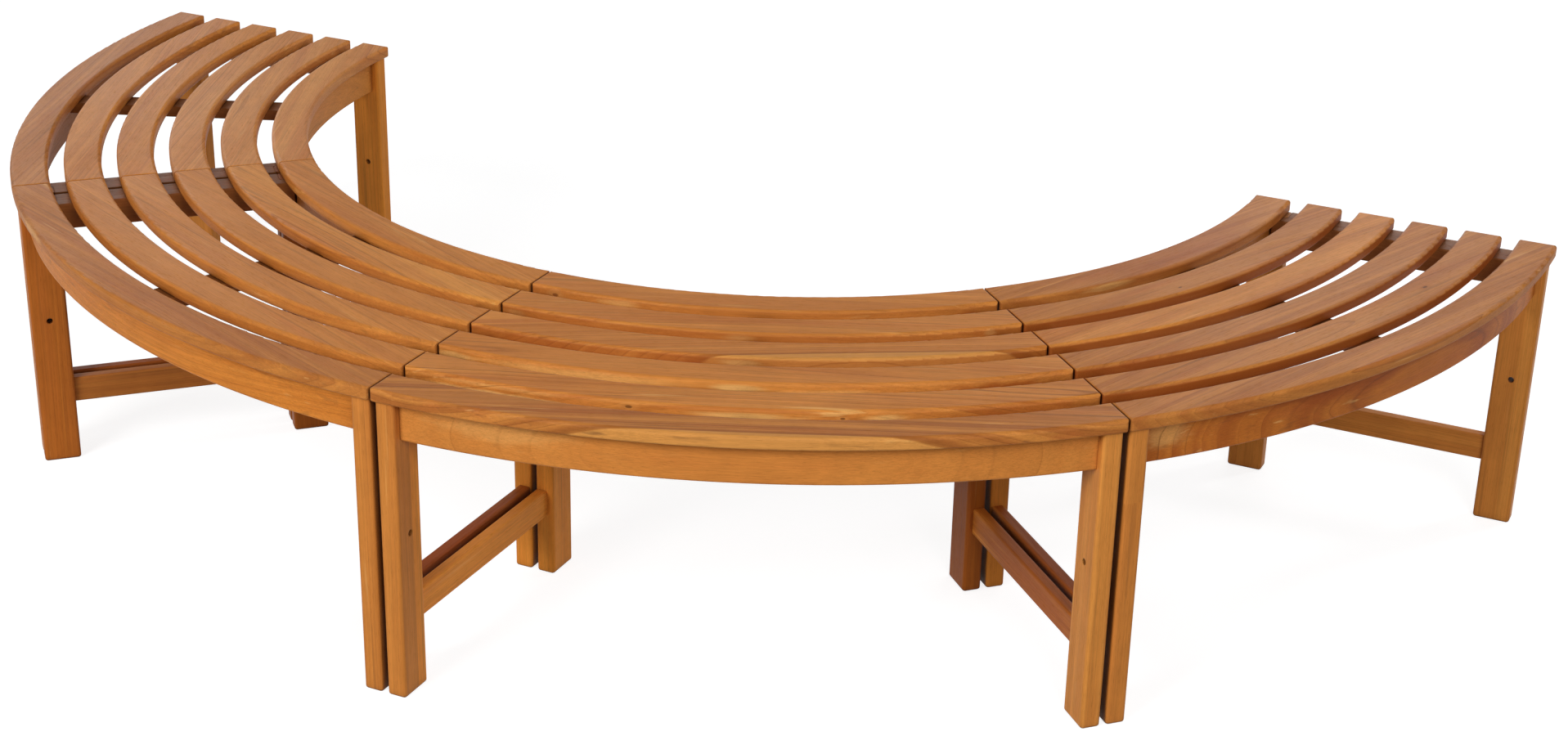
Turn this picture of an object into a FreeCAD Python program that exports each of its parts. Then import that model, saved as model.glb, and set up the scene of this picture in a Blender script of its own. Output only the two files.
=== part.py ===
"""Half-round tree bench: four free-standing curved segments set end to end round a trunk."""

import FreeCAD, Part
import math
import os

# Ring: all radii are taken from the trunk's axis, heights from the ground
OUTER_RADIUS = 1250.0
SEGMENTS = 4
SEGMENT_ANGLE = 45.0
JOINT_GAP = 2.5
SEAT_HEIGHT = 448.0

# Slats: sawn to the curve, numbered from the outer edge inwards
SLATS = 6
SLAT_WIDTH = 56.5
SLAT_GAP = 23.75
SLAT_THICKNESS = 18.0
SLAT_CORNER = 3.5
SLAT_TOP_ROUND = 5.0
SLAT_END_ROUND = 1.5
SLAT_BOTTOM_ROUND = 3.0

# Legs: thin along the curve, deep towards the trunk
LEG_THICKNESS = 28.0
LEG_DEPTH = 55.0
LEG_OVERHANG = 6.0
LEG_SETBACK = 3.0
LEG_ROUND = 5.0
FOOT_ROUND = 4.0
BOLT_HOLE_RADIUS = 4.5
BOLT_HOLE_HEIGHT = 236.0

# Aprons: curved boards under the outer and the inner slat
APRON_THICKNESS = 22.0
APRON_REVEAL = 12.5
OUTER_APRON_HEIGHT = 56.0
INNER_APRON_HEIGHT = 60.0
APRON_ROUND = 3.0

# Rails across each end, and the battens that the slats are screwed to
TOP_RAIL_HEIGHT = 40.0
STRETCHER_HEIGHT = 40.0
STRETCHER_THICKNESS = 18.0
STRETCHER_SETBACK = 1.0
STRETCHER_BOTTOM = 93.0
RAIL_ROUND = 3.0
END_BATTEN_THICKNESS = 18.0
END_BATTEN_HEIGHT = 40.0
MIDDLE_BATTEN_WIDTH = 44.0
MIDDLE_BATTEN_THICKNESS = 18.0
BATTEN_ROUND = 1.5
BATTEN_CLEARANCE = 0.75
HOUSING_DEPTH = 10.0

# Mortise and tenon joints
TENON_THICKNESS = 10.0
TENON_LENGTH = 20.0
TENON_SHOULDER = 7.0
MORTISE_SPARE = 1.5

# Countersunk wood screws
SCREW_RADIUS = 2.0
SCREW_HEAD_RADIUS = 4.0
SCREW_HEAD_HEIGHT = 2.5
SCREW_TIP = 5.0
SCREW_DRIVE_SPAN = 4.4
SCREW_DRIVE_WIDTH = 1.0
SCREW_DRIVE_DEPTH = 1.6
SCREW_CLEARANCE = 0.05
SLAT_BITE = 11.0
SCREW_POCKET = 18.0
FRAME_SCREW_LENGTH = 38.0
SCREW_INSET = 9.0

SLAT_PITCH = SLAT_WIDTH + SLAT_GAP
INNER_RADIUS = OUTER_RADIUS - SLATS * SLAT_WIDTH - (SLATS - 1) * SLAT_GAP
HALF_ANGLE = SEGMENT_ANGLE / 2
HALF_GAP = JOINT_GAP / 2
FRAME_TOP = SEAT_HEIGHT - SLAT_THICKNESS

# End coordinates: x along the joint line from the axis, y into the segment from the joint plane
OUTER_LEG_FACE = OUTER_RADIUS - LEG_OVERHANG
OUTER_LEG_BACK = OUTER_LEG_FACE - LEG_DEPTH
INNER_LEG_FACE = INNER_RADIUS + LEG_OVERHANG
INNER_LEG_BACK = INNER_LEG_FACE + LEG_DEPTH
LEG_NEAR = HALF_GAP + LEG_SETBACK
LEG_FAR = LEG_NEAR + LEG_THICKNESS
LEG_MIDDLE = (LEG_NEAR + LEG_FAR) / 2
OUTER_APRON_FACE = OUTER_LEG_FACE - APRON_REVEAL
OUTER_APRON_BACK = OUTER_APRON_FACE - APRON_THICKNESS
INNER_APRON_FACE = INNER_LEG_FACE + APRON_REVEAL
INNER_APRON_BACK = INNER_APRON_FACE + APRON_THICKNESS
BATTEN_FAR = LEG_FAR + END_BATTEN_THICKNESS
BATTEN_MIDDLE = (LEG_FAR + BATTEN_FAR) / 2
MIDDLE_BATTEN_BOTTOM = FRAME_TOP - MIDDLE_BATTEN_THICKNESS
STRETCHER_NEAR = LEG_NEAR + STRETCHER_SETBACK
STRETCHER_FAR = STRETCHER_NEAR + STRETCHER_THICKNESS
STRETCHER_MIDDLE = (STRETCHER_NEAR + STRETCHER_FAR) / 2
STRETCHER_TOP = STRETCHER_BOTTOM + STRETCHER_HEIGHT

# The part's frame stands under the middle of the half ring
RING_CENTRE_Y = (OUTER_RADIUS + HALF_GAP) / 2

UP = FreeCAD.Vector(0, 0, 1)
ORIGIN = FreeCAD.Vector(0, 0, 0)


def box(low, high):
    size = [b - a for a, b in zip(low, high)]
    return Part.makeBox(*size, FreeCAD.Vector(*low))


def edges_where(shape, test):
    return [edge for edge in shape.Edges if all(test(v.Point) for v in edge.Vertexes)]


def upright_edges(shape):
    return [e for e in shape.Edges if abs(e.tangentAt(e.FirstParameter).z) > 0.99]


def level_edges(shape, height):
    return edges_where(shape, lambda p: abs(p.z - height) < 1e-4)


def lengthwise(edges):
    return [e for e in edges if abs(e.tangentAt(e.FirstParameter).x) > 0.99]


def at_left_end(shape):
    """Turns a shape drawn in end coordinates to the left end of the segment."""
    return shape.rotated(ORIGIN, UP, -HALF_ANGLE)


def mirrored(shape):
    """The same piece at the segment's other end."""
    return shape.mirror(ORIGIN, FreeCAD.Vector(0, 1, 0))


def on_arc(radius, degrees, height):
    angle = math.radians(degrees)
    return FreeCAD.Vector(radius * math.cos(angle), radius * math.sin(angle), height)


def ring_board(inner, outer, setback, bottom, top):
    """Curved board between two planes that lie parallel to the segment's joint planes."""
    outer_half = HALF_ANGLE - math.degrees(math.asin(setback / outer))
    inner_half = HALF_ANGLE - math.degrees(math.asin(setback / inner))
    a, b = on_arc(outer, -outer_half, bottom), on_arc(outer, outer_half, bottom)
    c, d = on_arc(inner, inner_half, bottom), on_arc(inner, -inner_half, bottom)
    outline = Part.Wire([
        Part.Arc(a, on_arc(outer, 0, bottom), b).toShape(),
        Part.makeLine(b, c),
        Part.Arc(c, on_arc(inner, 0, bottom), d).toShape(),
        Part.makeLine(d, a),
    ])
    return Part.Face(outline).extrude(UP * (top - bottom))


def screw(length):
    """Countersunk cross-head screw along +Z, its head's flat face at the origin."""
    neck = SCREW_HEAD_HEIGHT
    head = Part.makeCone(SCREW_HEAD_RADIUS, SCREW_RADIUS, neck)
    shank = Part.makeCylinder(SCREW_RADIUS, length - SCREW_TIP - neck, UP * neck)
    tip = Part.makeCone(SCREW_RADIUS, SCREW_RADIUS / 5, SCREW_TIP, UP * (length - SCREW_TIP))
    span, width, depth = SCREW_DRIVE_SPAN / 2, SCREW_DRIVE_WIDTH / 2, SCREW_DRIVE_DEPTH
    recess = box((-span, -width, -1), (span, width, depth))
    cross = recess.fuse(box((-width, -span, -1), (width, span, depth)))
    return head.fuse([shank, tip]).removeSplitter().cut(cross)


def screw_hole(length, pocket):
    """Space that a screw and the pocket under its head need, a hair larger than the screw."""
    spare = SCREW_CLEARANCE
    neck = SCREW_HEAD_HEIGHT
    head = Part.makeCone(SCREW_HEAD_RADIUS + spare, SCREW_RADIUS + spare, neck)
    shank = Part.makeCylinder(SCREW_RADIUS + spare, length - neck + 1, UP * neck)
    access = Part.makeCylinder(SCREW_HEAD_RADIUS + spare, pocket + 1, UP * -(pocket + 1))
    return head.fuse([shank, access])


def turned_along(shape, direction, place):
    moved = shape.copy()
    moved.Placement = FreeCAD.Placement(place, FreeCAD.Rotation(UP, direction))
    return moved


def slat_edges(number):
    """Inner and outer radius of a slat, the outermost being number 1."""
    outer = OUTER_RADIUS - (number - 1) * SLAT_PITCH
    return outer - SLAT_WIDTH, outer


def slat_screw_radii():
    """Distance from the axis of each slat's screws, kept inside the battens at the two rims."""
    radii = [sum(slat_edges(n)) / 2 for n in range(1, SLATS + 1)]
    radii[0] = OUTER_APRON_BACK - SCREW_INSET
    radii[-1] = INNER_APRON_BACK + SCREW_INSET
    return radii


def slat_screws():
    """Upright screws through the battens into the slats, as (length, pocket, foot of the screw)."""
    end_length = END_BATTEN_HEIGHT - SCREW_POCKET + SLAT_BITE
    end_foot = FRAME_TOP - END_BATTEN_HEIGHT + SCREW_POCKET
    middle_length = MIDDLE_BATTEN_THICKNESS + SLAT_BITE
    left_end = FreeCAD.Rotation(UP, -HALF_ANGLE)
    right_end = FreeCAD.Rotation(UP, HALF_ANGLE)
    places = []
    for radius in slat_screw_radii():
        along = math.sqrt(radius ** 2 - BATTEN_MIDDLE ** 2)
        left = left_end.multVec(FreeCAD.Vector(along, BATTEN_MIDDLE, end_foot))
        right = right_end.multVec(FreeCAD.Vector(along, -BATTEN_MIDDLE, end_foot))
        places.append((end_length, SCREW_POCKET, left))
        places.append((end_length, SCREW_POCKET, right))
        places.append((middle_length, 0.0, FreeCAD.Vector(radius, 0, MIDDLE_BATTEN_BOTTOM)))
    return places


def frame_screws():
    """Screws that hold the battens to the rails and aprons, as (direction, foot of the screw)."""
    places = []
    height = FRAME_TOP - END_BATTEN_HEIGHT / 2
    for gap in range(2, SLATS - 1):
        along = OUTER_RADIUS - gap * SLAT_PITCH + SLAT_GAP / 2
        for side in (-1, 1):
            turn = FreeCAD.Rotation(UP, side * HALF_ANGLE)
            foot = turn.multVec(FreeCAD.Vector(along, -side * BATTEN_FAR, height))
            direction = turn.multVec(FreeCAD.Vector(0, side, 0))
            places.append((direction, foot))
    for radius in (OUTER_APRON_BACK + HOUSING_DEPTH / 2, INNER_APRON_BACK - HOUSING_DEPTH / 2):
        places.append((UP * -1, FreeCAD.Vector(radius, 0, FRAME_TOP)))
    return places


def drilled(shape):
    """A piece with the holes of every screw that passes through it."""
    holes = []
    for length, pocket, foot in slat_screws():
        holes.append(turned_along(screw_hole(length, pocket), UP, foot))
    for direction, foot in frame_screws():
        holes.append(turned_along(screw_hole(FRAME_SCREW_LENGTH, 0.0), direction, foot))
    near = [h for h in holes if shape.BoundBox.intersect(h.BoundBox)]
    return shape.cut(near) if near else shape


def round_over(rim, outwards):
    """What a rounding cutter takes off along the top edge at a rim, run past both ends of the slat.

    Outwards is 1 on the slat's outer side and -1 on its inner side.
    """
    spare = 1.0
    inside, outside = rim - outwards * SLAT_TOP_ROUND, rim + outwards * spare
    low, above = SEAT_HEIGHT - SLAT_TOP_ROUND, SEAT_HEIGHT + spare
    slant = SLAT_TOP_ROUND * math.sqrt(0.5)
    corners = [(rim, low), (outside, low), (outside, above), (inside, above), (inside, SEAT_HEIGHT)]
    points = [FreeCAD.Vector(x, 0, z) for x, z in corners]
    on_curve = FreeCAD.Vector(inside + outwards * slant, 0, low + slant)
    edges = [Part.makeLine(a, b) for a, b in zip(points, points[1:])]
    edges.append(Part.Arc(points[-1], on_curve, points[0]).toShape())
    profile = Part.Face(Part.Wire(edges)).rotated(ORIGIN, UP, -SEGMENT_ANGLE)
    return profile.revolve(ORIGIN, UP, 2 * SEGMENT_ANGLE)


def slat(number):
    """Flat board sawn to the ring: corners rounded, long top edges rounded over, ends only eased."""
    inner, outer = slat_edges(number)
    board = ring_board(inner, outer, HALF_GAP, FRAME_TOP, SEAT_HEIGHT)
    board = board.makeFillet(SLAT_CORNER, upright_edges(board))
    board = board.makeFillet(SLAT_END_ROUND, level_edges(board, SEAT_HEIGHT))
    board = board.makeFillet(SLAT_BOTTOM_ROUND, level_edges(board, FRAME_TOP))
    board = board.cut([round_over(outer, 1), round_over(inner, -1)])
    return drilled(board)


def apron_tenon(middle, bottom, spare=0.0):
    """Left-end tenon of an apron, or its mortise when spare lengthens it."""
    low = (middle - TENON_THICKNESS / 2, LEG_FAR - TENON_LENGTH - spare, bottom + TENON_SHOULDER)
    high = (middle + TENON_THICKNESS / 2, LEG_FAR + 2, FRAME_TOP - TENON_SHOULDER)
    return at_left_end(box(low, high))


def outer_apron_tenon(spare=0.0):
    middle = (OUTER_APRON_FACE + OUTER_APRON_BACK) / 2
    return apron_tenon(middle, FRAME_TOP - OUTER_APRON_HEIGHT, spare)


def inner_apron_tenon(spare=0.0):
    middle = (INNER_APRON_FACE + INNER_APRON_BACK) / 2
    return apron_tenon(middle, FRAME_TOP - INNER_APRON_HEIGHT, spare)


def apron(inner, outer, height, tenon):
    """Curved board with a tenon at each end and a housing for the middle batten."""
    bottom = FRAME_TOP - height
    board = ring_board(inner, outer, LEG_FAR, bottom, FRAME_TOP)
    arcs = [e for e in level_edges(board, bottom) if e.Curve.TypeId == "Part::GeomCircle"]
    board = board.makeFillet(APRON_ROUND, arcs)
    board = board.fuse([tenon, mirrored(tenon)]).removeSplitter()
    return drilled(board.cut(middle_batten_space()))


def outer_apron():
    return apron(OUTER_APRON_BACK, OUTER_APRON_FACE, OUTER_APRON_HEIGHT, outer_apron_tenon())


def inner_apron():
    return apron(INNER_APRON_FACE, INNER_APRON_BACK, INNER_APRON_HEIGHT, inner_apron_tenon())


def middle_batten_space():
    half = MIDDLE_BATTEN_WIDTH / 2
    low = (INNER_APRON_BACK - HOUSING_DEPTH, -half, MIDDLE_BATTEN_BOTTOM)
    high = (OUTER_APRON_BACK + HOUSING_DEPTH, half, FRAME_TOP)
    return box(low, high)


def middle_batten():
    board = middle_batten_space()
    below = lengthwise(level_edges(board, MIDDLE_BATTEN_BOTTOM))
    return drilled(board.makeFillet(BATTEN_ROUND, below))


def end_batten():
    """Left-end batten beside the top rail; its ends clear the curve of the aprons."""
    low = (INNER_APRON_BACK + BATTEN_CLEARANCE, LEG_FAR, FRAME_TOP - END_BATTEN_HEIGHT)
    high = (OUTER_APRON_BACK - 2 * BATTEN_CLEARANCE, BATTEN_FAR, FRAME_TOP)
    board = box(low, high)
    far = edges_where(board, lambda p: abs(p.y - BATTEN_FAR) < 1e-4)
    return drilled(at_left_end(board.makeFillet(BATTEN_ROUND, far)))


def rail_tenons(middle, bottom, top, spare=0.0):
    """Tenons of a rail that runs from the inner leg to the outer leg, in end coordinates."""
    half = TENON_THICKNESS / 2
    reach = TENON_LENGTH + spare
    low = (INNER_LEG_BACK - reach, middle - half, bottom + TENON_SHOULDER)
    high = (OUTER_LEG_BACK + reach, middle + half, top - TENON_SHOULDER)
    return box(low, high)


def top_rail():
    """Left-end rail between the leg tops, under the slats."""
    bottom = FRAME_TOP - TOP_RAIL_HEIGHT
    low = (INNER_LEG_BACK, LEG_NEAR, bottom)
    high = (OUTER_LEG_BACK, LEG_FAR, FRAME_TOP)
    rail = box(low, high)
    rail = rail.makeFillet(RAIL_ROUND, lengthwise(level_edges(rail, bottom)))
    rail = rail.fuse(rail_tenons(LEG_MIDDLE, bottom, FRAME_TOP))
    return drilled(at_left_end(rail.removeSplitter()))


def stretcher():
    """Left-end rail low between the legs."""
    low = (INNER_LEG_BACK, STRETCHER_NEAR, STRETCHER_BOTTOM)
    high = (OUTER_LEG_BACK, STRETCHER_FAR, STRETCHER_TOP)
    rail = box(low, high)
    rail = rail.makeFillet(RAIL_ROUND, lengthwise(rail.Edges))
    rail = rail.fuse(rail_tenons(STRETCHER_MIDDLE, STRETCHER_BOTTOM, STRETCHER_TOP))
    return at_left_end(rail.removeSplitter())


def mortises():
    """Everything that is cut from the left-end legs to take the tenons."""
    top = rail_tenons(LEG_MIDDLE, FRAME_TOP - TOP_RAIL_HEIGHT, FRAME_TOP, MORTISE_SPARE)
    low = rail_tenons(STRETCHER_MIDDLE, STRETCHER_BOTTOM, STRETCHER_TOP, MORTISE_SPARE)
    across = [outer_apron_tenon(MORTISE_SPARE), inner_apron_tenon(MORTISE_SPARE)]
    return [at_left_end(top), at_left_end(low)] + across


def leg(inner_face, outer_face):
    """Left-end leg between two distances from the axis."""
    post = box((inner_face, LEG_NEAR, 0), (outer_face, LEG_FAR, FRAME_TOP))
    post = post.makeFillet(LEG_ROUND, upright_edges(post))
    post = post.makeFillet(FOOT_ROUND, level_edges(post, 0))
    middle = (inner_face + outer_face) / 2
    place = FreeCAD.Vector(middle, 0, BOLT_HOLE_HEIGHT)
    hole = Part.makeCylinder(BOLT_HOLE_RADIUS, LEG_FAR + 10, place, FreeCAD.Vector(0, 1, 0))
    post = at_left_end(post.cut(hole))
    return post.cut(mortises())


def segment():
    """Every piece of one segment, drawn with its middle on +X, as {name: [solids]}.

    Left and right are as seen by someone who faces the bench from outside the ring.
    """
    pieces = {}
    for number in range(1, SLATS + 1):
        pieces[f"slat_{number}"] = [slat(number)]
    outer_leg = leg(OUTER_LEG_BACK, OUTER_LEG_FACE)
    inner_leg = leg(INNER_LEG_FACE, INNER_LEG_BACK)
    pieces["outer_leg_left"] = [outer_leg]
    pieces["outer_leg_right"] = [mirrored(outer_leg)]
    pieces["inner_leg_left"] = [inner_leg]
    pieces["inner_leg_right"] = [mirrored(inner_leg)]
    pieces["outer_apron"] = [outer_apron()]
    pieces["inner_apron"] = [inner_apron()]
    rails = [top_rail(), stretcher()]
    pieces["end_rails"] = rails + [mirrored(rail) for rail in rails]
    batten = end_batten()
    pieces["slat_battens"] = [batten, middle_batten(), mirrored(batten)]
    return pieces


def screws():
    """The screws of one segment, as {name: [solids]}."""
    upright = [turned_along(screw(length), UP, foot) for length, _, foot in slat_screws()]
    across = [turned_along(screw(FRAME_SCREW_LENGTH), way, foot) for way, foot in frame_screws()]
    return {"slat_screws": upright, "frame_screws": across}


def placed(shape, number):
    """A segment's piece turned to its place in the half ring, number 0 being the leftmost."""
    turn = 180 + HALF_ANGLE + number * SEGMENT_ANGLE
    moved = shape.rotated(ORIGIN, UP, turn)
    return moved.translated(FreeCAD.Vector(0, RING_CENTRE_Y, 0))


def solids_of(shapes):
    return [solid for shape in shapes for solid in shape.Solids]


def write(node, shapes):
    solids = solids_of(shapes)
    assert all(solid.isValid() and solid.Volume > 0 for solid in solids), node
    group = solids[0] if len(solids) == 1 else Part.makeCompound(solids)
    group.exportStep(f"parts/{node}.step")
    print(node, len(solids), round(sum(solid.Volume for solid in solids) / 1000, 1), "cm3")


def main():
    os.makedirs("parts", exist_ok=True)
    pieces = segment()
    for number, letter in zip(range(SEGMENTS), "abcd"):
        for name, shapes in pieces.items():
            write(f"segment_{letter}_{name}", [placed(s, number) for s in shapes])
    for name, shapes in screws().items():
        write(name, [placed(s, n) for n in range(SEGMENTS) for s in shapes])


main()
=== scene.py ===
"""Looks of the half-round tree bench: oiled teak boards, steel screws, a white studio and the camera."""

import math
import random
from functools import partial

import bpy
from mathutils import Euler, Matrix, Vector


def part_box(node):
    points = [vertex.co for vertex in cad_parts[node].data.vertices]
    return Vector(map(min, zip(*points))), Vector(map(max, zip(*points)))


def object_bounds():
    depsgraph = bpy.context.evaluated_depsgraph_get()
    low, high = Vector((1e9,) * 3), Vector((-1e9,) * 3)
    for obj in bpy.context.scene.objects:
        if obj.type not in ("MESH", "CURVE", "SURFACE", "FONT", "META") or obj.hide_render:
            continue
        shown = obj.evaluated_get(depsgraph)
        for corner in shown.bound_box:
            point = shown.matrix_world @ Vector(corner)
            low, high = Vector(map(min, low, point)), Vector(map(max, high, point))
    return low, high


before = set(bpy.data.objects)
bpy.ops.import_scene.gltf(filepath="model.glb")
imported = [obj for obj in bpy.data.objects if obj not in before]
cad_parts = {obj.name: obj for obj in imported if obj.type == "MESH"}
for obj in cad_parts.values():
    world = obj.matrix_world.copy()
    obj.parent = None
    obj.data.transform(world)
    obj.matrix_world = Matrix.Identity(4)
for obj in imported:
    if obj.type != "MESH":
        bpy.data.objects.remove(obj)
cad_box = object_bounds()

SEED = 11
MM = 0.001

# The ring that the four segments stand on, from the frame, in metres and degrees. Both free ends lie half
# a joint gap short of the line through its centre.
HALF_JOINT_GAP = 1.25 * MM
RING_CENTRE = Vector((0, cad_box[1][1] + HALF_JOINT_GAP, 0))
SEGMENT_ANGLE = 45.0
MIDDLE_ANGLES = {letter: 180 + SEGMENT_ANGLE * (i + 0.5) for i, letter in enumerate("abcd")}

# How much of full white the room gives to shadows.
ROOM_FILL = 0.13
# How much of its own light the floor shows near the bench and far from it, past the reach of the lamps,
# and the distances in metres between which one turns into the other.
FLOOR_GLOW = (0.82, 1.0)
GLOW_REACH = (1.5, 4.5)
# The floor's own colour. With its glow and the light of the lamps it comes out white.
FLOOR_COLOUR = "#AAAAAA"
FLOOR_SIZE = 60

# Each soft box's place and the length of its side, in metres, and its power in watts. All of them face
# the middle of the seat.
SEAT_MIDDLE = (0, -0.4, 0.4)
SOFT_BOXES = {
    "key_soft_box": ((-1.25, -5.1, 3.2), 2.4, 205),
    "front_right_soft_box": ((3.7, -3.5, 3.2), 2.4, 118),
    "rim_soft_box": ((3.6, 4.2, 2.6), 0.8, 50),
    "sheen_soft_box_left": ((-2.2, 1.24, 1.0), 1.0, 4.5),
    "sheen_soft_box_right": ((0.64, 1.7, 1.13), 1.0, 5),
}


def on_ring(angle, radius, height):
    """The point at an angle round the ring, in degrees, and a radius and height in metres."""
    turn = math.radians(angle)
    return RING_CENTRE + Vector((radius * math.cos(turn), radius * math.sin(turn), height))


def linear(colour):
    """The linear value of an sRGB colour written as #RRGGBB, by the formula that defines sRGB."""
    channels = [int(colour[i:i + 2], 16) / 255 for i in (1, 3, 5)]
    turned = [c / 12.92 if c <= 0.04045 else ((c + 0.055) / 1.055) ** 2.4 for c in channels]
    return (*turned, 1.0)


def add(tree, kind, inputs=(), **settings):
    """Add a shader node and set its options. Inputs go to its sockets in order, or by name: each is a
    value, a socket to link, or a node whose first output is linked."""
    node = tree.nodes.new("ShaderNode" + kind)
    for option, value in settings.items():
        setattr(node, option, value)
    sockets = [socket for socket in node.inputs if socket.enabled]
    named = {socket.name: socket for socket in reversed(sockets)}
    if isinstance(inputs, dict):
        pairs = [(named[name], source) for name, source in inputs.items()]
    else:
        pairs = zip(sockets, inputs)
    for socket, source in pairs:
        if isinstance(source, bpy.types.Node):
            source = next(output for output in source.outputs if output.enabled)
        if isinstance(source, bpy.types.NodeSocket):
            tree.links.new(source, socket)
        else:
            socket.default_value = source
    return node


def new_material(name):
    """A material with an empty tree, and the function that adds nodes to it."""
    material = bpy.data.materials.new(name)
    material.use_nodes = True
    material.node_tree.nodes.clear()
    return material, partial(add, material.node_tree)


# Teak as it shows on this bench. Each tone is the paler early wood and the darker late wood of a log.
TONES = {
    "honey": ("#EF9C40", "#D9812C"),
    "sand": ("#DF9852", "#C57B3C"),
    "gold": ("#E39948", "#C97B33"),
    "amber": ("#DE8C38", "#C47228"),
    "warm": ("#D98D40", "#BC7130"),
    "brown": ("#CB833C", "#A9642C"),
    "chestnut": ("#C9762C", "#A8591F"),
    "russet": ("#AD601F", "#904916"),
    "umber": ("#9C602E", "#78461F"),
}
SAPWOOD = "#E29E50"
PALE_STREAK = "#F2BE72"
RED_HEARTWOOD = "#B45E2C"
# Darker wood for edges and patches, and the painted shade on the end rails at the joints.
DARK_BROWN_AND_SHADE = "#9A4A18"
RING_LINE = "#6A3512"
STAIN = "#5A3A26"
# The dark heart of knots, and the painted shade in narrow gaps and bolt holes.
KNOT_HEART_AND_GAP_SHADE = "#45200C"

# How long and wide the marks of the wood are, in millimetres along and across the grain. Each fibre stands
# for a bundle of real ones, and pores are drawn about twice as wide as they are, to show from a step away.
HEART_BOW = (520, 170)
RING_WAVE = (130, 24)
CLOUDS = (320, 60)
RED_CLOUDS = (380, 22)
RIPPLE = (34, 24)
FIBRES = (120, 1.6)
PORES = (13, 0.7)
STAINS = (420, 9)
FLARES = (190, 8)
# How many millimetres of years a broad band spans, and over how many their width changes.
BAND_WIDTH = 12
WIDTH_CHANGE = 45
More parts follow.
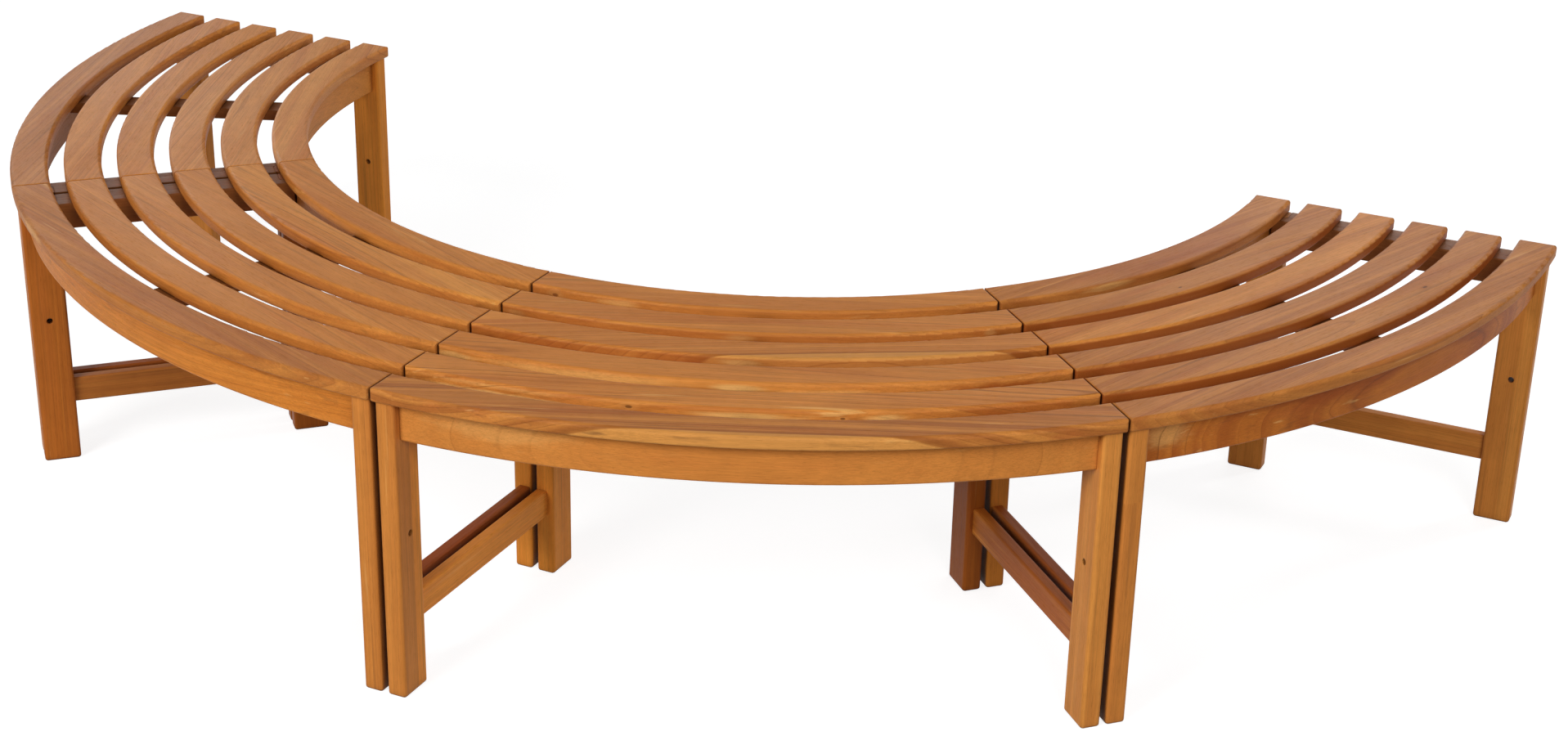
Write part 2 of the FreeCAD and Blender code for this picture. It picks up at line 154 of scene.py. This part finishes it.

# What the photograph shows of single boards, in degrees and millimetres. Figure is how strongly the rings
# show, ring how wide a year is, edge how much darker and redder the upright edges are, stain how dark the
# old streaks are and skew how far the grain turns off the board in plan. Pith is where the heart of the log
# lies across the board, on a slat or an apron inwards and upwards from its origin, and sapwood is a point
# there that the edge of the pale sapwood passes. Knots are an angle round the ring, a radius, a height, a
# size and how pale the wood round them is. Patches are an angle, a radius, a height, half a length, half a
# width and how much paler the wood is, or darker where it is below 0. Glued is a second strip of another
# tone and part of the log, past a limit along one axis.
ELSEWHERE = (310.0, 60.0, 25.0)
BOARDS = {
    "a_slat_1": {"tone": "brown"},
    "a_slat_2": {"tone": "warm"},
    "a_slat_3": {"tone": "warm"},
    "a_slat_4": {"tone": "sand"},
    "a_slat_5": {"tone": "sand"},
    "a_slat_6": {"tone": "sand"},
    "b_slat_1": {"tone": "brown", "edge": 0.0,
                 "patches": [(233.0, 1250, 440, 60, 6, 0.35), (254.0, 1250, 440, 200, 9, 0.2),
                             (253.0, 1222, 445, 230, 60, -0.25)]},
    "b_slat_2": {"tone": "warm"},
    "b_slat_3": {"tone": "warm"},
    "b_slat_4": {"tone": "warm", "edge": 0.3},
    "b_slat_5": {"tone": "gold", "edge": 0.4},
    "b_slat_6": {"tone": "warm", "edge": 0.1},
    "c_slat_1": {"tone": "brown", "pith": (86, 38), "sapwood": (16, 0), "stain": 0.6, "skew": 1.0,
                 "edge": 0.0, "figure": 0.9},
    "c_slat_2": {"tone": "warm", "pith": (100, 60), "skew": -1.0, "edge": 0.05, "figure": 0.9,
                 "knots": [(285.2, 1170, 440, 3.5, 0.1), (298.4, 1170, 437, 2.5, 0.1)],
                 "patches": [(276.5, 1170, 433, 100, 4, 0.7), (276.5, 1170, 443, 110, 3, 0.25),
                             (292.5, 1170, 437, 70, 5, 0.7), (301.0, 1170, 437, 30, 5, 0.7),
                             (309.0, 1170, 438, 80, 12, -0.5)]},
    "c_slat_3": {"tone": "warm", "pith": (60, 60), "ring": 6.0, "skew": -2.0, "edge": 0.0,
                 "patches": [(271.5, 1089, 437, 35, 5, 0.5), (281.0, 1089, 438, 150, 7, 0.35),
                             (291.5, 1089, 439, 35, 5, 0.7), (298.0, 1089, 436, 70, 4, 0.3),
                             (309.5, 1089, 433, 75, 9, -0.8)]},
    "c_slat_4": {"tone": "warm", "pith": (150, 40), "sapwood": (10, 8), "skew": 8.0, "edge": 0.5,
                 "figure": 0.9,
                 "patches": [(291.5, 1009, 439, 30, 5, 0.8), (275.0, 1009, 438, 70, 12, -0.3)]},
    "c_slat_5": {"tone": "warm", "pith": (70, 60), "ring": 6.0, "skew": 1.0, "edge": 0.5,
                 "patches": [(291.0, 929, 440, 25, 5, 0.5), (271.5, 929, 438, 15, 5, 0.4),
                             (312.0, 929, 440, 10, 5, 0.5)]},
    "c_slat_6": {"tone": "warm", "pith": (25, -70), "ring": 6.0, "edge": 0.3,
                 "patches": [(279.0, 849, 440, 30, 5, 0.5), (312.0, 849, 432, 20, 8, -0.6)],
                 "knots": [(272.6, 849, 438, 4.0, 0.2)]},
    "d_slat_1": {"tone": "brown", "edge": 0.05},
    "d_slat_2": {"tone": "brown", "edge": 0.8, "knots": [(346.8, 1142, 448, 3.5, 0.0)]},
    "d_slat_3": {"tone": "brown", "edge": 0.8},
    "d_slat_4": {"tone": "warm", "edge": 0.8},
    "d_slat_5": {"tone": "brown", "edge": 0.8, "knots": [(332.0, 912, 448, 2.5, 0.0)]},
    "d_slat_6": {"tone": "brown", "edge": 0.3,
                 "patches": [(327.0, 849, 443, 45, 5, 0.5), (338.0, 815, 448, 250, 30, -0.5)]},
    "a_outer_apron": {"tone": "brown"},
    "b_outer_apron": {"tone": "amber", "pith": (60, -120), "skew": 4.0, "figure": 0.5},
    "c_outer_apron": {"tone": "warm", "pith": (-95, 4), "ring": 12.0, "stain": 0.1, "figure": 0.25,
                      "skew": 0.0, "patches": [(278.0, 1235, 415, 100, 18, 0.25)]},
    "d_outer_apron": {"tone": "chestnut", "pith": (-40, -12), "ring": 9.0, "skew": 3.0, "figure": 0.9,
                      "patches": [(318.0, 1235, 410, 35, 20, 0.4), (331.0, 1235, 420, 150, 20, -0.75),
                                  (347.0, 1235, 420, 90, 20, -0.5)]},
    "b_outer_leg_left": {"tone": "chestnut", "glued": ("Z", 5.5, ELSEWHERE, "chestnut")},
    "b_outer_leg_right": {"tone": "warm", "glued": ("Z", 5.5, ELSEWHERE, "warm")},
    "c_outer_leg_left": {"tone": "warm", "glued": ("Z", 5.5, ELSEWHERE, "honey")},
    "c_outer_leg_right": {"tone": "gold", "glued": ("Z", 5.5, ELSEWHERE, "gold")},
    "d_outer_leg_left": {"tone": "warm", "glued": ("X", 111.0, ELSEWHERE, "warm"), "stain": 0.5},
    "d_outer_leg_right": {"tone": "gold", "glued": ("Z", -5.5, ELSEWHERE, "warm")},
    "a_inner_leg_left": {"tone": "honey"},
    "a_inner_leg_right": {"tone": "russet"},
    "b_inner_leg_left": {"tone": "russet"},
    "b_inner_leg_right": {"tone": "honey"},
    "c_inner_leg_left": {"tone": "honey"},
    "c_inner_leg_right": {"tone": "russet"},
    "d_inner_leg_left": {"tone": "amber"},
    # The dark patches on the end rails at the joints between segments are partly darker wood and partly
    # painted shade under the seat.
    "a_end_rails": {"tone": "brown", "patches": [(224.0, 1050, 180, 60, 230, -0.8)]},
    "b_end_rails": {"tone": "brown", "patches": [(226.0, 1050, 180, 60, 230, -0.3),
                                                 (269.0, 1050, 180, 60, 230, -1.0)]},
    "c_end_rails": {"tone": "honey", "patches": [(314.0, 1050, 180, 60, 230, -0.8)]},
    "d_end_rails": {"tone": "warm", "patches": [(316.0, 1050, 180, 60, 230, -0.9)]},
}
# The same for what isn't given above: the tones, how strongly the rings show by the kind of piece, how
# much darker the slats' edges are, and the least and the most of the rest, with the pith above or below the
# origin. Tilts turn the grain off the board upwards.
PLAIN_TONES = ("warm", "gold", "warm")
PLAIN_FIGURE = {"leg": 0.35, "apron": 0.35, "rails": 0.4, "battens": 0.5, "slat": 0.6}
PLAIN_SLAT_EDGE = 0.15
PITH_INWARDS = (-20, 100)
PITH_ABOVE = (30, 90)
RING_WIDTHS = (5.0, 8.5)
TILTS = (-0.7, 0.7)
SKEWS = (-2.5, 2.5)


def along_grain(node, board, size, seed, detail=2.0, roughness=0.5):
    """Noise whose marks are as long and as wide as the size says, along and across the grain."""
    long, wide = size
    squeezed = node("VectorMath", (board, (1 / long, 1 / wide, 1 / wide)), operation="MULTIPLY")
    inputs = {"Vector": squeezed, "W": seed, "Scale": 1.0, "Detail": detail, "Roughness": roughness}
    return node("TexNoise", inputs, noise_dimensions="4D")


def board_axes(node, pieces):
    """The place on the board in millimetres, X along the grain, and the way its face looks on the same
    axes. A node that holds several pieces changes from one piece's axes to the next where the place
    passes a plane across the segment."""
    place = node("TexCoord")
    board = facing = None
    for centre, turn, plane in pieces:
        inputs = {"Vector": place.outputs["Object"], "Location": centre, "Rotation": turn,
                  "Scale": (MM, MM, MM)}
        own_board = node("Mapping", inputs, vector_type="TEXTURE")
        inputs = {"Vector": place.outputs["Normal"], "Rotation": turn}
        own_facing = node("Mapping", inputs, vector_type="TEXTURE")
        if board is None:
            board, facing = own_board, own_facing
            continue
        across, limit = plane
        reach = node("VectorMath", (place.outputs["Object"], across), operation="DOT_PRODUCT")
        past = node("Math", (reach.outputs["Value"], limit), operation="GREATER_THAN")
        board = node("Mix", {"Factor": past, "A": board, "B": own_board}, data_type="VECTOR")
        facing = node("Mix", {"Factor": past, "A": facing, "B": own_facing}, data_type="VECTOR")
    return board, facing


def knots_in(node, board, knots):
    """How far the knots push the rings aside, in millimetres, how much of a point is knot, and how much
    is the pale wood round one. Each knot is a point on the board, the size of its core and how pale the
    wood round it is. A knot is about twice as long as it is wide, and its push fades out softly."""
    length_share, push_share = 0.45, 1.6
    push = core = halo = 0.0
    for centre, size, paleness in knots:
        away = node("VectorMath", (board, centre), operation="SUBTRACT")
        squeeze = (length_share / size, 1 / size, 1 / size)
        stretched = node("VectorMath", (away, squeeze), operation="MULTIPLY")
        distance = node("VectorMath", (stretched,), operation="LENGTH").outputs["Value"]
        fade = node("Math", (0.5, node("Math", (distance, 2.0), operation="POWER")), operation="POWER")
        push = node("Math", (fade, size * push_share, push), operation="MULTIPLY_ADD")
        heart = node("MapRange", (distance, 0.45, 0.75, 1.0, 0.0), interpolation_type="SMOOTHSTEP")
        core = node("Math", (core, heart), operation="MAXIMUM")
        around = node("MapRange", (distance, 1.0, 2.4, paleness, 0.0), interpolation_type="SMOOTHSTEP")
        halo = node("Math", (halo, around), operation="MAXIMUM")
    return push, core, halo


def patches_in(node, patches, ragged):
    """How much paler, or darker where it is below 0, the patches make a point. Each patch is an angle
    round the ring, a radius and a height, half its length and width and its strength. It follows the
    curve of the board, and the noise makes its rim ragged."""
    full_turn, rim_raggedness, rim_end = 360, 1.2, 1.9
    away = node("VectorMath", (node("TexCoord").outputs["Object"], RING_CENTRE), operation="SUBTRACT")
    x, y, z = node("SeparateXYZ", (away,)).outputs
    turn = node("Math", (y, x), operation="ARCTAN2")
    level = node("VectorMath", (away, (1, 1, 0)), operation="MULTIPLY")
    radius = node("VectorMath", (level,), operation="LENGTH").outputs["Value"]
    place = node("CombineXYZ", (turn, radius, z))
    total = 0.0
    for angle, out, up, half_length, half_width, amount in patches:
        # The arctangent is negative all round the bench, so the angle is counted back from a full turn.
        centre = (math.radians(angle - full_turn), out * MM, up * MM)
        away = node("VectorMath", (place, centre), operation="SUBTRACT")
        size = (out / half_length, 1 / (half_width * MM), 1 / (half_width * MM))
        stretched = node("VectorMath", (away, size), operation="MULTIPLY")
        distance = node("VectorMath", (stretched,), operation="LENGTH").outputs["Value"]
        distance = node("Math", (ragged, rim_raggedness, distance), operation="MULTIPLY_ADD")
        share = node("MapRange", (distance, 1.0, rim_end, amount, 0.0), interpolation_type="SMOOTHSTEP")
        total = node("Math", (total, share), operation="ADD")
    return total


def distance_from_pith(node, board, pith, seed, push):
    """How far a point lies from the heart of its log, in millimetres. The heart wanders beside the
    board, every ring waves a little along the grain, and knots push the rings aside."""
    bow_size, wave_size = 14.0, 2.0
    bow = along_grain(node, board, HEART_BOW, seed, detail=1).outputs["Color"]
    bent = node("VectorMath", (bow, (0, bow_size, bow_size), board), operation="MULTIPLY_ADD")
    heart = (0, pith[0] + bow_size / 2, pith[1] + bow_size / 2)
    offset = node("VectorMath", (bent, heart), operation="SUBTRACT")
    across = node("VectorMath", (offset, (0, 1, 1)), operation="MULTIPLY")
    radius = node("VectorMath", (across,), operation="LENGTH").outputs["Value"]
    wave = along_grain(node, board, RING_WAVE, seed + 7, detail=1)
    radius = node("Math", (wave, wave_size, radius), operation="MULTIPLY_ADD")
    return node("Math", (radius, push), operation="ADD")


def year_rings(node, radius, ring, seed):
    """The thin dark line where each year starts, a few of them strong, how far into its year each point
    lies, and how dark that year is as a whole. The years are of uneven width."""
    unevenness = 3.0
    slowly = node("Math", (radius, 1 / WIDTH_CHANGE), operation="MULTIPLY")
    slow = node("TexNoise", {"W": slowly, "Scale": 1.0, "Detail": 1.0}, noise_dimensions="1D")
    years = node("Math", (radius, 1 / ring, seed), operation="MULTIPLY_ADD")
    years = node("Math", (slow, unevenness, years), operation="MULTIPLY_ADD")
    part = node("Math", (years,), operation="FRACT")
    chance = node("TexWhiteNoise", {"W": node("Math", (years,), operation="FLOOR")}, noise_dimensions="1D")
    before = node("MapRange", (part, 0.93, 1.0), interpolation_type="SMOOTHSTEP")
    after = node("MapRange", (part, 0.0, 0.16, 1.0, 0.0), interpolation_type="SMOOTHSTEP")
    line = node("Math", (before, after), operation="MAXIMUM")
    strong = node("Math", (chance, 2.0), operation="POWER")
    return node("Math", (line, strong), operation="MULTIPLY"), part, chance


def early_to_late(node, radius, year, part, clouds, figure, seed):
    """How far each point is from the early colour of its tone to the late one: broad bands of years and
    soft clouds, then how dark its year is and how far into the year it lies. Figure spreads them out."""
    broadly = node("Math", (radius, 1 / BAND_WIDTH, seed), operation="MULTIPLY_ADD")
    late = node("TexNoise", {"W": broadly, "Scale": 1.0, "Detail": 2.0}, noise_dimensions="1D")
    for mark, weight in ((clouds, 0.6), (year, 0.2), (part, 0.15)):
        late = node("Math", (mark, weight, late), operation="MULTIPLY_ADD")
    spread = 0.6 * figure
    return node("MapRange", (late, 0.60, 1.35, 0.5 - spread, 0.5 + spread), interpolation_type="SMOOTHSTEP")


def sapwood_marks(node, radius, pith, sapwood):
    """The pale sapwood outside the ring that passes a point, and the heartwood just inside it, which is
    the darkest."""
    rim_width, rim_strength, blur, sap_strength = 9.0, 0.4, 1.0, 0.7
    inside = math.hypot(sapwood[0] - pith[0], sapwood[1] - pith[1]) + blur
    rim = node("MapRange", (radius, inside - rim_width, inside, 0.0, rim_strength),
               interpolation_type="SMOOTHSTEP")
    sap = node("MapRange", (radius, inside - blur, inside + blur, 0.0, sap_strength),
               interpolation_type="SMOOTHSTEP")
    return [(rim, RING_LINE), (sap, SAPWOOD)]


def oil_edges_and_gap_shade(node, facing, edge):
    """End grain drinks more oil, so it is darker, and the slats' upright edges are made darker and redder by
    as much as edge says. The bolt holes and the narrow gaps between legs and under the slats get painted
    shade."""
    end_strength, gap_shade_strength, gap_reach = 0.32, 0.9, 0.03
    lengthwise = node("Math", (node("SeparateXYZ", (facing,)),), operation="ABSOLUTE")
    end = node("MapRange", (lengthwise, 0.55, 0.95, 0.0, end_strength), interpolation_type="SMOOTHSTEP")
    marks = [(end, RING_LINE)]
    if edge:
        upwards = node("SeparateXYZ", (facing,)).outputs["Z"]
        sawn = node("MapRange", (upwards, 0.2, 0.7, edge, 0.0), interpolation_type="SMOOTHSTEP")
        marks.append((sawn, DARK_BROWN_AND_SHADE))
    # Painted shade: the colour darkens where ambient occlusion finds other surfaces close by, in gaps and
    # bolt holes.
    openness = node("AmbientOcclusion", {"Distance": gap_reach}, samples=4).outputs["AO"]
    painted_gap_shade = node("MapRange", (openness, 0.08, 0.55, gap_shade_strength, 0.0), interpolation_type="SMOOTHSTEP")
    return marks + [(painted_gap_shade, KNOT_HEART_AND_GAP_SHADE)]


def covered(node, colour, marks):
    """The colour with marks laid over it one after the other, each of them its strength and its shade."""
    for strength, shade in marks:
        colour = node("Mix", {"Factor": strength, "A": colour, "B": linear(shade)}, data_type="RGBA")
    return colour


def sanded_surface(node, clouds, pores, line, fibres):
    """The roughness and the normal of sanded teak: duller in clouds and pores, with pores and ring lines
    sunk and fibres raised by less than half a millimetre. Evening out the normal over a few millimetres
    hides the flats of the CAD mesh on the rounded edges."""
    smoothest, dullest = 0.46, 0.66
    dull = node("Math", (clouds, 0.8, pores), operation="MULTIPLY_ADD")
    roughness = node("MapRange", (dull, 0.2, 1.4, smoothest, dullest), interpolation_type="SMOOTHSTEP")
    sunk = node("Math", (pores, line), operation="ADD")
    height = node("Math", (node("Math", (fibres, 0.6), operation="MULTIPLY"), sunk), operation="SUBTRACT")
    even = node("Bevel", {"Radius": 3 * MM}, samples=4)
    bump = node("Bump", {"Height": height, "Strength": 0.25, "Distance": 0.4 * MM, "Normal": even})
    return roughness, bump


def teak(name, pieces, tone, pith, ring, figure, edge, knots, stain=0.3, sapwood=None, patches=(),
         glued=None):
    """Oiled teak, planed and sanded: growth rings round a pith that runs past the board, so that faces,
    edges and ends all show the same log. Oil brings out its orange brown, and the open pores keep the
    shine low. The board's own marks are given as in BOARDS."""
    seed = random.Random(f"{SEED} {name}").uniform(0, 900)
    material, node = new_material(name)
    board, facing = board_axes(node, pieces)
    early, late = (linear(shade) for shade in TONES[tone])
    if glued:
        axis, limit, shift, second_tone = glued
        share = node("SeparateXYZ", (board,)).outputs[axis]
        second = node("Math", (share, limit), operation="GREATER_THAN")
        moved = node("VectorMath", {"Vector": shift, "Scale": second}, operation="SCALE")
        board = node("VectorMath", (board, moved), operation="ADD")
        early, late = (node("Mix", {"Factor": second, "A": own, "B": linear(other)}, data_type="RGBA")
                       for own, other in zip((early, late), TONES[second_tone]))
    push, core, halo = knots_in(node, board, knots)
    radius = distance_from_pith(node, board, pith, seed, push)
    line, part, year = year_rings(node, radius, ring, seed)

    # Each noise adds a number of its own to the seed, so that no two of them look alike.
    clouds = along_grain(node, board, CLOUDS, seed + 3)
    red_clouds = along_grain(node, board, RED_CLOUDS, seed + 17)
    ripple = along_grain(node, board, RIPPLE, seed + 25)
    fibres = along_grain(node, board, FIBRES, seed + 5, detail=3, roughness=0.6)
    dashes = along_grain(node, board, PORES, seed + 9, detail=1)
    pores = node("MapRange", (dashes, 0.56, 0.72), interpolation_type="SMOOTHSTEP")
    streaks = along_grain(node, board, STAINS, seed + 13)
    flares = along_grain(node, board, FLARES, seed + 21)

    # The colours of the log: early and late wood, red heartwood, sapwood, pale flares and the wood round
    # knots, the photograph's patches, the ring lines and old stains.
    tint = early_to_late(node, radius, year, part, clouds, figure, seed)
    colour = node("Mix", {"Factor": tint, "A": early, "B": late}, data_type="RGBA")
    red = node("MapRange", (red_clouds, 0.48, 0.78, 0.0, 0.6 * figure), interpolation_type="SMOOTHSTEP")
    marks = [(red, RED_HEARTWOOD)]
    if sapwood is not None:
        marks += sapwood_marks(node, radius, pith, sapwood)
    flare = node("MapRange", (flares, 0.64, 0.78, 0.0, 0.6 * figure), interpolation_type="SMOOTHSTEP")
    if knots:
        flare = node("Math", (flare, halo), operation="MAXIMUM")
    marks.append((flare, PALE_STREAK))
    if patches:
        paler = patches_in(node, patches, flares)
        # Dark patches are darker wood; on the end rails at the joints they are partly painted shade.
        darker = node("Math", (paler, -1.0), operation="MULTIPLY")
        marks += [(paler, PALE_STREAK), (darker, DARK_BROWN_AND_SHADE)]
    lines = node("Math", (line, 0.65 * figure), operation="MULTIPLY")
    stained = node("MapRange", (streaks, 0.60, 0.76, 0.0, stain), interpolation_type="SMOOTHSTEP")
    colour = covered(node, colour, marks + [(lines, RING_LINE), (stained, STAIN)])

    # What the saw and the sander laid open: fibres and a faint ripple, pores and knots; darker ends and
    # edges; and painted shade in the gaps.
    shade = node("MapRange", (fibres, 0.25, 0.75, 0.88, 1.09), interpolation_type="SMOOTHSTEP")
    shade = node("Math", (shade, node("MapRange", (ripple, 0.3, 0.7, 0.95, 1.05))), operation="MULTIPLY")
    colour = node("VectorMath", {"Vector": colour, "Scale": shade}, operation="SCALE")
    marks = [(node("Math", (pores, 0.22), operation="MULTIPLY"), RING_LINE)]
    if knots:
        marks.append((node("Math", (core, 0.7), operation="MULTIPLY"), KNOT_HEART_AND_GAP_SHADE))
    colour = covered(node, colour, marks + oil_edges_and_gap_shade(node, facing, edge))

    roughness, bump = sanded_surface(node, clouds, pores, line, fibres)
    shader = node("BsdfPrincipled", {"Base Color": colour, "Roughness": roughness, "Normal": bump,
                                     "IOR": 1.45, "Specular IOR Level": 0.13})
    node("OutputMaterial", (shader,))
    return material


def stainless_steel():
    """Stainless steel, turned and a little dulled by handling: grey, with a soft bright reflection."""
    material, node = new_material("stainless_steel_screw")
    dull_spot = 2 * MM
    place = node("TexCoord").outputs["Object"]
    cloud = node("TexNoise", {"Vector": place, "Scale": 1 / dull_spot, "Detail": 3.0})
    colour = node("Mix", {"Factor": cloud, "A": linear("#C9C8C4"), "B": linear("#8F8C86")}, data_type="RGBA")
    roughness = node("MapRange", (cloud, 0.3, 0.7, 0.24, 0.42))
    shader = node("BsdfPrincipled", {"Base Color": colour, "Metallic": 1.0, "Roughness": roughness})
    node("OutputMaterial", (shader,))
    return material


def middle_of(name):
    """The middle of a node's box."""
    low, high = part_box(name)
    return (low + high) / 2


def pieces_of(name, letter, kind, tilt, skew):
    """The origin and the axes of each piece that a wooden node holds, and the plane past which each one
    after the first starts. On a curved board the origin is where its outer face bulges most, and Y runs
    inwards from there. Tilt and skew turn the grain off the length of the board, in degrees: upwards and
    in plan."""
    middle = middle_of(name)
    angle = MIDDLE_ANGLES[letter]
    half = SEGMENT_ANGLE / 2
    tilt = math.radians(tilt)
    if "leg" in kind:
        end = angle + (half if kind.endswith("right") else -half)
        return [(middle, (0, math.radians(-90) + tilt, math.radians(end)), None)]
    if kind not in ("end_rails", "slat_battens"):
        rim = max((corner.co - RING_CENTRE).xy.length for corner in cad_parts[name].data.vertices)
        return [(on_ring(angle, rim, middle.z), (0, tilt, math.radians(angle + 90 + skew)), None)]
    # The planes lie this far from the middle of the segment: between the rails, or between the battens.
    between_battens = 150 * MM
    if kind == "end_rails":
        places = ((-half, 0), (half, 0))
    else:
        places = ((-half, 0), (0, -between_battens), (half, between_battens))
    across = on_ring(angle + 90, 1.0, 0.0) - RING_CENTRE
    pieces = []
    for turned, limit in places:
        place = on_ring(angle + turned, (middle - RING_CENTRE).xy.length, middle.z)
        plane = (across, RING_CENTRE.dot(across) + limit)
        pieces.append((place, (0, tilt, math.radians(angle + turned)), plane))
    return pieces


def on_piece(piece, angle, radius, height, *size):
    """A knot at an angle round the ring, in degrees, and a radius and height in millimetres, as its
    place on a piece's own axes, followed by its size and paleness."""
    centre, turn, _ = piece
    away = on_ring(angle, radius * MM, height * MM) - centre
    return tuple(Euler(turn).to_matrix().transposed() @ away / MM), *size


def dress_boards():
    """Give every wooden node its own board of teak."""
    for name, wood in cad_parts.items():
        if name.endswith("screws"):
            continue
        rng = random.Random(f"{SEED} board {name}")
        _, letter, kind = name.split("_", 2)
        traits = {"tone": rng.choice(PLAIN_TONES),
                  "pith": (rng.uniform(*PITH_INWARDS), rng.choice((-1, 1)) * rng.uniform(*PITH_ABOVE)),
                  "ring": rng.uniform(*RING_WIDTHS),
                  "figure": next(value for part, value in PLAIN_FIGURE.items() if part in kind),
                  "edge": PLAIN_SLAT_EDGE if "slat" in kind else 0.0}
        if kind == "slat_battens":
            traits["tone"] = "umber"
        if kind == "end_rails":
            # The top rails are darker than the stretchers below them.
            traits["glued"] = ("Z", 0.0, ELSEWHERE, "umber")
        tilt, skew = rng.uniform(*TILTS), rng.uniform(*SKEWS)
        traits.update(BOARDS.get(f"{letter}_{kind}", {}))
        pieces = pieces_of(name, letter, kind, tilt, traits.pop("skew", skew))
        traits["knots"] = [on_piece(pieces[0], *knot) for knot in traits.get("knots", ())]
        material = teak(name.replace("segment_", "oiled_teak_"), pieces, **traits)
        for slot in wood.material_slots:
            slot.material = material


def dress_screws():
    """Give both nodes of screws the same steel."""
    steel = stainless_steel()
    for name in ("slat_screws", "frame_screws"):
        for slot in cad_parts[name].material_slots:
            slot.material = steel


def seen_directly(node):
    """1 for what the camera, a reflection or glass shows, and 0 for what only lights the bench."""
    path = node("LightPath")
    seen = node("Math", (path.outputs["Is Camera Ray"], path.outputs["Is Glossy Ray"]), operation="MAXIMUM")
    return node("Math", (seen, path.outputs["Is Transmission Ray"]), operation="MAXIMUM")


def white_room():
    """A white room: the camera and reflections see it at full white, and it fills the shadows softly."""
    world = bpy.data.worlds.new("white_room")
    bpy.context.scene.world = world
    world.use_nodes = True
    world.node_tree.nodes.clear()
    node = partial(add, world.node_tree)
    strength = node("Math", (seen_directly(node), 1 - ROOM_FILL, ROOM_FILL), operation="MULTIPLY_ADD")
    node("OutputWorld", (node("Background", {"Color": (1, 1, 1, 1), "Strength": strength}),))


def white_floor():
    """A white floor that shows white where it is lit and keeps the bench's soft shadow."""
    bpy.ops.object.select_all(action="DESELECT")
    bpy.ops.mesh.primitive_plane_add(size=FLOOR_SIZE)
    floor = bpy.context.object
    floor.name = "studio_floor"
    material, node = new_material("matt_white_floor")
    away = node("VectorMath", (node("TexCoord").outputs["Object"],), operation="LENGTH").outputs["Value"]
    glow = node("MapRange", (away, *GLOW_REACH, *FLOOR_GLOW), interpolation_type="SMOOTHSTEP")
    glow = node("Math", (seen_directly(node), glow), operation="MULTIPLY")
    matt = node("BsdfDiffuse", {"Color": linear(FLOOR_COLOUR)})
    node("OutputMaterial", (node("AddShader", (node("Emission", {"Strength": glow}), matt)),))
    floor.data.materials.append(material)


def soft_box(name, place, side, watts):
    """A square soft box that faces the middle of the seat."""
    lamp = bpy.data.lights.new(name, "AREA")
    lamp.size = side
    lamp.energy = watts
    holder = bpy.data.objects.new(name, lamp)
    bpy.context.scene.collection.objects.link(holder)
    holder.location = place
    holder.visible_camera = False
    holder.rotation_euler = (Vector(SEAT_MIDDLE) - Vector(place)).to_track_quat("-Z", "Y").to_euler()


def photograph_camera():
    """The photograph's view: from the front right and above, with a slight roll."""
    place = (1.7084, -3.0712, 1.7893)
    pitch_down, turned_left, roll = 23.859, 24.834, 1.3755
    data = bpy.data.cameras.new("photograph_camera")
    data.sensor_width = 36
    data.lens = 58.94
    camera = bpy.data.objects.new("photograph_camera", data)
    bpy.context.scene.collection.objects.link(camera)
    aim = Euler((math.radians(90 - pitch_down), 0, math.radians(turned_left))).to_matrix()
    aim = aim @ Matrix.Rotation(math.radians(roll), 3, "Z")
    camera.matrix_world = Matrix.Translation(place) @ aim.to_4x4()
    bpy.context.scene.camera = camera


bpy.context.scene.view_settings.view_transform = "Standard"
photograph_camera()
white_room()
white_floor()
for box_name, (box_place, side, watts) in SOFT_BOXES.items():
    soft_box(box_name, box_place, side, watts)
dress_boards()
dress_screws()
